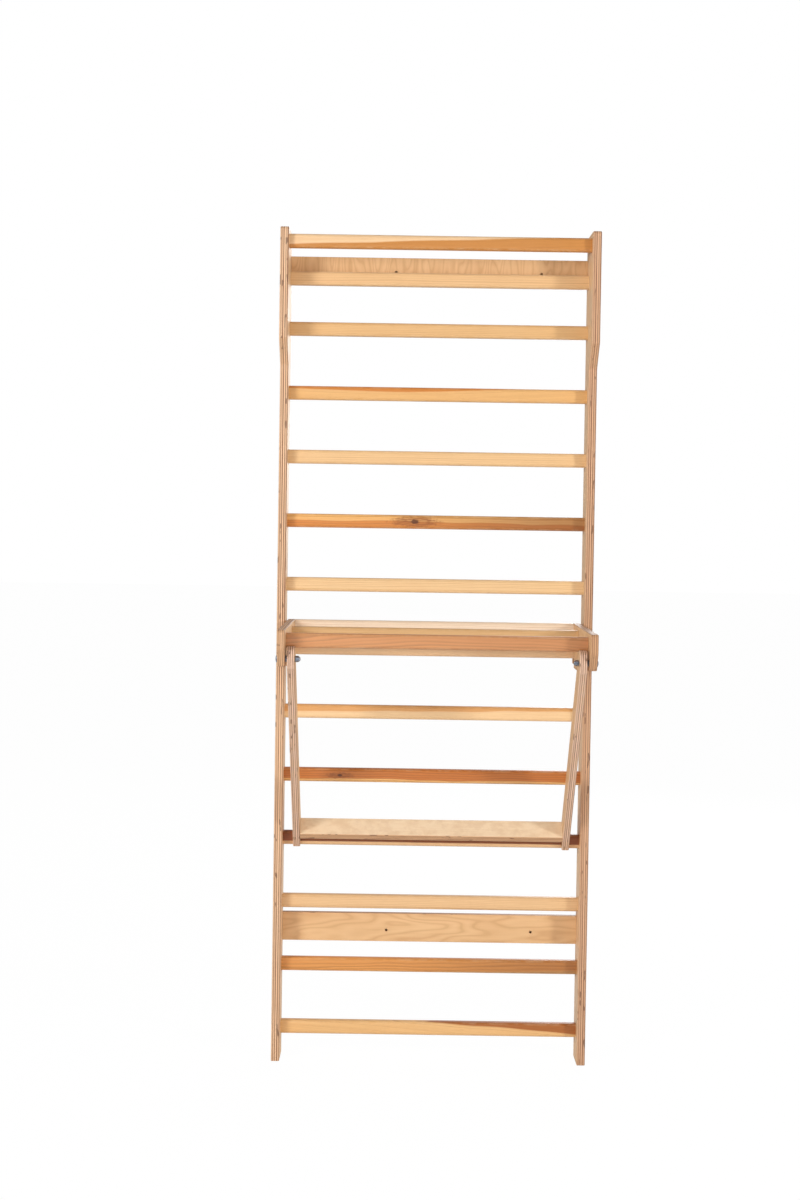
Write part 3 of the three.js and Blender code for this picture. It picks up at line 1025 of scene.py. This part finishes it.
@dataclass
class HangingFrame:
    """The lift-off frame: two hooked arms, three bars and the pivots' bolts."""

    bar_finishes: tuple[PineFinish, ...] = (
        # Painted shade: the front bar darkens towards its right end, where the right arm shades
        # it.
        PineFinish("front_bar_pine", pale=(220, 164, 112), heart=(210, 148, 98),
                   pith=(0.004, 0.03), shift=0.08, bow=-0.12, heart_radius=0.2,
                   ring_width=0.0058, waviness=0.02, ring_depth=0.62, painted_end_shade=0.16),
        PineFinish("middle_bar_pine", pale=(216, 174, 122), pith=(0.05, 0.04),
                   heart_radius=0.03),
        PineFinish("rear_bar_pine", pale=(244, 222, 196), pith=(0.06, 0.05),
                   heart_radius=0.02),
    )
    screws: ScrewSet = field(default_factory=lambda: ScrewSet(head_radius=0.0052, seed=11))

    def dress_arms(self) -> None:
        """Gives each arm its plywood, the right arm's edges a darker tone as painted shade."""
        for name in ("left_arm", "right_arm"):
            low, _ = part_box(name)
            # Painted shade: the right arm's edge tone is darker than the left's, standing in for
            # the weaker light from the right.
            tone = (232, 188, 144) if name == "left_arm" else (214, 168, 126)
            finish = PlywoodFinish(f"{name}_plywood", (1.0, 0.0, 0.0), low[0], Grain.Y, edge=tone)
            dress(name, finish.make())

    def dress_bars(self) -> None:
        """Gives each bar its own piece of pine."""
        for name, finish in zip(("front_bar", "middle_bar", "rear_bar"), self.bar_finishes):
            dress(name, finish.make(middle(name)))

    def dress_steel(self, steel: Material) -> None:
        """Gives the pivots and the bars' screws their steel.

        Args:
            steel: The finish.
        """
        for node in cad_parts:
            if "pivot" in node or node.endswith("bar_screw"):
                dress(node, steel)

    def build(self, steel: Material) -> None:
        """Dresses the whole frame.

        Args:
            steel: The bolts' and screws' finish.
        """
        self.dress_arms()
        self.dress_bars()
        self.dress_steel(steel)
        self.screws.cap("bar_screw_heads", "bar_screw", Body.HANGING_FRAME, steel)


@dataclass
class StrutFrame:
    """The folding brace: two struts and the spreader board between their feet."""

    lean: float = 38.86
    board_thickness: float = 0.018
    screws: ScrewSet = field(default_factory=lambda: ScrewSet(head_radius=0.0052, seed=19))

    def dress_struts(self) -> None:
        """Gives each strut its plywood, the grain along its length."""
        for name in ("left_strut", "right_strut"):
            low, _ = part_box(name)
            finish = PlywoodFinish(f"{name}_plywood", (1.0, 0.0, 0.0), low[0], Grain.Z,
                                   turn=self.lean, edge=(248, 212, 184),
                                   edge_dark=(126, 80, 54))
            dress(name, finish.make())

    def dress_spreader(self) -> None:
        """Gives the spreader board its plywood, layered through its slanted thickness."""
        angle = math.radians(self.lean)
        axis = Vector((0.0, math.sin(angle), -math.cos(angle)))
        place = middle("spreader_board")
        start = axis.dot(place) - self.board_thickness / 2
        finish = PlywoodFinish("spreader_board_plywood", tuple(axis), start, Grain.X,
                               turn=self.lean, face=(250, 226, 194),
                               face_dark=(240, 212, 174), contour=0.05)
        dress("spreader_board", finish.make())

    def build(self, steel: Material) -> None:
        """Dresses the whole brace.

        Args:
            steel: The screws' finish.
        """
        self.dress_struts()
        self.dress_spreader()
        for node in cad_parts:
            if node.endswith("spreader_screw"):
                dress(node, steel)
        self.screws.cap("spreader_screw_heads", "spreader_screw", Body.STRUT_FRAME, steel)


@dataclass(frozen=True)
class Lamp:
    """One large soft lamp: its place, its side in metres and its power in watts."""

    name: str
    place: Point
    size: float
    power: float


@dataclass
class Studio:
    """The camera, the soft light and the pale floor."""

    camera_place: Point = (-0.09707, -4.651, 1.4057)
    pitch: float = 0.026335
    roll: float = 0.015194
    yaw: float = 0.001451
    lens: float = 56.939
    shift_y: float = -0.03248
    sensor: float = 36.0
    sight: float = 200.0
    lamps: tuple[Lamp, ...] = (
        Lamp("key_light", (-3.2, -4.2, 2.6), 1.4, 146.0),
        Lamp("fill_light", (4.0, -3.9, 2.1), 0.7, 116.0),
        Lamp("front_light", (-1.2, -6.2, 0.5), 2.8, 40.0),
        Lamp("back_light", (1.6, 4.4, 2.4), 2.4, 70.0),
    )
    lamp_aim: Point = (0.0, 0.0, 1.1)
    world_strength: float = 0.34
    floor_reach: float = 30.0
    floor_glow: float = 1.01
    floor_glow_share: float = 0.97

    def add_camera(self) -> None:
        """Makes the camera and makes it the scene's own."""
        data = bpy.data.cameras.new("camera")
        data.sensor_fit = "AUTO"
        data.sensor_width = self.sensor
        data.lens = self.lens
        data.shift_y = self.shift_y
        data.clip_end = self.sight
        camera = bpy.data.objects.new("camera", data)
        right = Vector((math.cos(self.yaw), -math.sin(self.yaw), 0.0))
        ahead = Vector((math.cos(self.pitch) * math.sin(self.yaw),
                        math.cos(self.pitch) * math.cos(self.yaw), -math.sin(self.pitch)))
        above = right.cross(ahead)
        across = right * math.cos(self.roll) + above * math.sin(self.roll)
        upward = above * math.cos(self.roll) - right * math.sin(self.roll)
        turn = Matrix((across, upward, -ahead)).transposed().to_4x4()
        camera.matrix_world = Matrix.Translation(self.camera_place) @ turn
        bpy.context.scene.collection.objects.link(camera)
        bpy.context.scene.camera = camera

    def add_lamps(self) -> None:
        """Hangs the lamps, each one facing the aim."""
        for lamp in self.lamps:
            data = bpy.data.lights.new(lamp.name, "AREA")
            data.shape = "SQUARE"
            data.size = lamp.size
            data.energy = lamp.power
            light = bpy.data.objects.new(lamp.name, data)
            direction = Vector(self.lamp_aim) - Vector(lamp.place)
            light.rotation_mode = "QUATERNION"
            light.rotation_quaternion = direction.to_track_quat("-Z", "Y")
            light.location = lamp.place
            bpy.context.scene.collection.objects.link(light)

    def add_world(self) -> None:
        """Makes the even white surroundings."""
        world = bpy.data.worlds.new("surroundings")
        world.use_nodes = True
        web = NodeWeb(world.node_tree)
        lit = world.node_tree.nodes["Background"]
        seen = web.add("ShaderNodeBackground")
        for background, strength in ((lit, self.world_strength), (seen, 1.0)):
            background.inputs["Color"].default_value = WHITE
            background.inputs["Strength"].default_value = strength
        web.show(lit, seen, 1.0, world.node_tree.nodes["World Output"])
        bpy.context.scene.world = world

    def add_floor(self) -> None:
        """Lays the plain pale floor."""
        reach = self.floor_reach
        mesh = bpy.data.meshes.new("floor")
        mesh.from_pydata([(-reach, -reach, 0), (reach, -reach, 0), (reach, reach, 0),
                          (-reach, reach, 0)], [], [(0, 1, 2, 3)])
        floor = bpy.data.objects.new("floor", mesh)
        material, web, shader, coordinates = start_material("pale_floor")
        tint = web.noise(coordinates.outputs["Object"], 1.4, 3.0)
        web.feed(shader.inputs["Base Color"], web.blend(tint, *FLOOR_TONES))
        shader.inputs["Roughness"].default_value = 0.7
        glow = web.add("ShaderNodeEmission", {"Strength": self.floor_glow})
        web.show(shader, glow, self.floor_glow_share, material.node_tree.nodes["Material Output"])
        mesh.materials.append(material)
        bpy.context.scene.collection.objects.link(floor)

    def set_display(self) -> None:
        """Shows colours as they are, with no film look."""
        settings = bpy.context.scene.view_settings
        settings.view_transform = "Standard"
        settings.look = "None"

    def build(self) -> None:
        """Sets up the light and the floor."""
        self.set_display()
        self.add_lamps()
        self.add_world()
        self.add_floor()


def main() -> None:
    """Builds the scene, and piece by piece."""
    logging.basicConfig(level=logging.INFO, format="%(name)s: %(message)s")
    studio = Studio()
    studio.add_camera()
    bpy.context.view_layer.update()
    steel = SteelFinish("bright_zinc_steel").make()
    Ladder().build(steel)
    HangingFrame().build(steel)
    StrutFrame().build(steel)
    studio.build()


if __name__ == "__main__":
    main()
